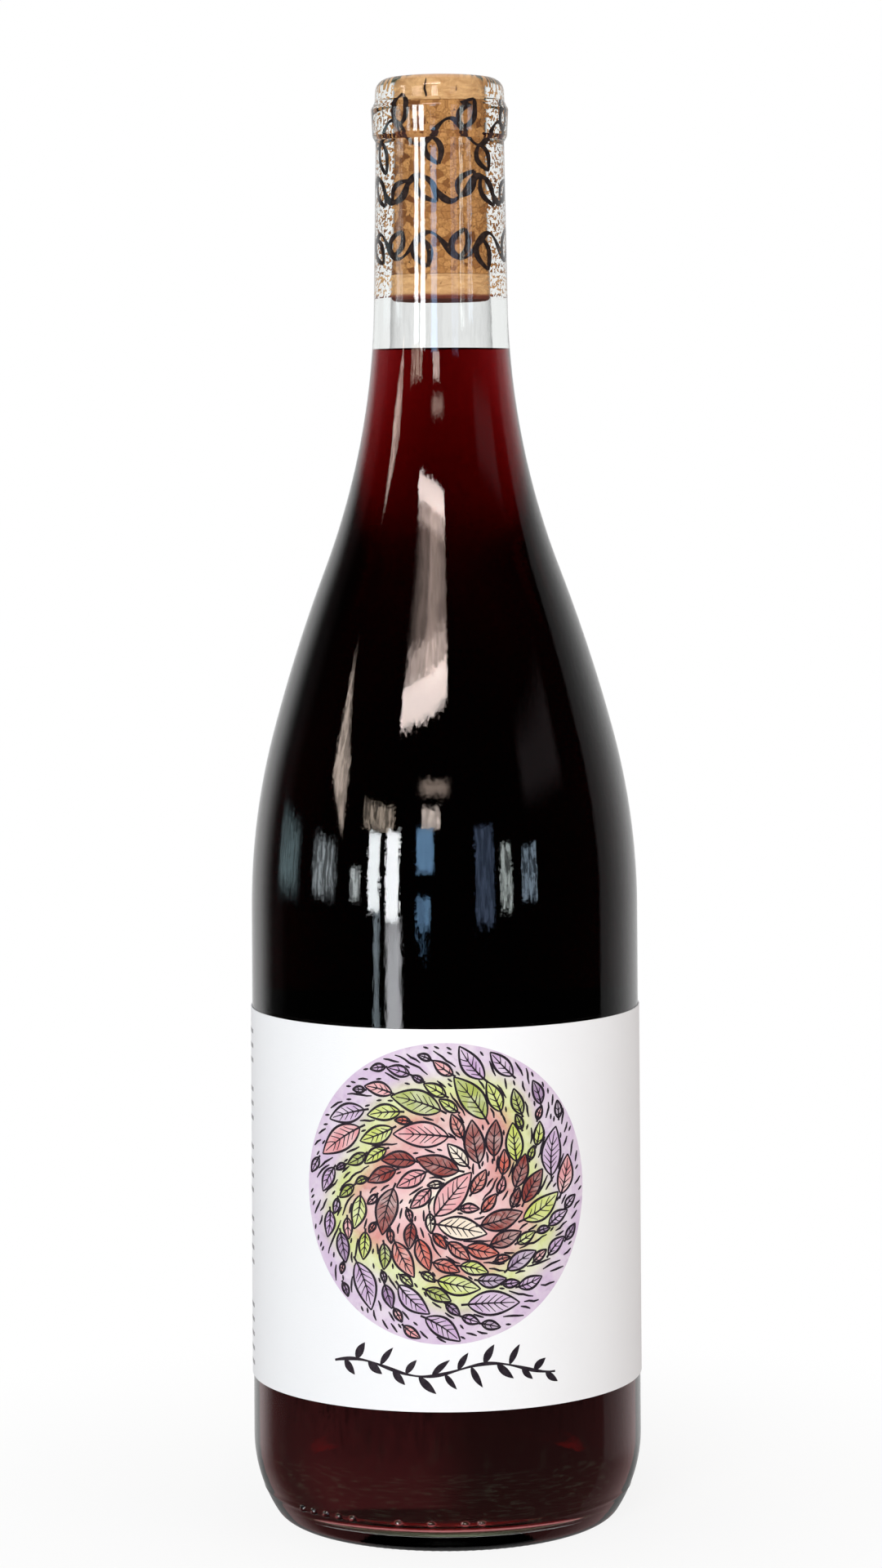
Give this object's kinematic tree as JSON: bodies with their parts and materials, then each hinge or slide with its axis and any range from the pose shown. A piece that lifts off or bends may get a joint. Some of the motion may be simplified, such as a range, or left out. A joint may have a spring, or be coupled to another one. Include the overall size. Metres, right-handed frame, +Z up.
{
  "type": "wine bottle",
  "caption": "Tall clear glass bottle with sloping shoulders, filled with red wine, shut by a flush cork, with a pale paper label round its body.",
  "frame": {"origin": "middle of the foot, on the surface the bottle stands on", "axes": "+Z up along the bottle's own axis, -Y towards the viewer of the label's front, +X to the viewer's right"},
  "size_m": [0.0808, 0.0808, 0.296],
  "materials": {
    "clear_glass": "clear, smooth and glossy, faintly green where it is thick",
    "red_wine": "deep crimson drink, nearly black where it is deep",
    "natural_cork": "smooth matt cork with fine pores",
    "grained_cork": "matt cork of pressed grains with dark ink strokes",
    "label_paper": "matt uncoated white paper with a printed round picture"
  },
  "bodies": {
    "root": {"bottle": "clear_glass", "wine": "red_wine", "cork_bottom_disc": "natural_cork", "cork": "grained_cork", "cork_top_disc": "natural_cork", "label": "label_paper"}
  },
  "joints": []
}
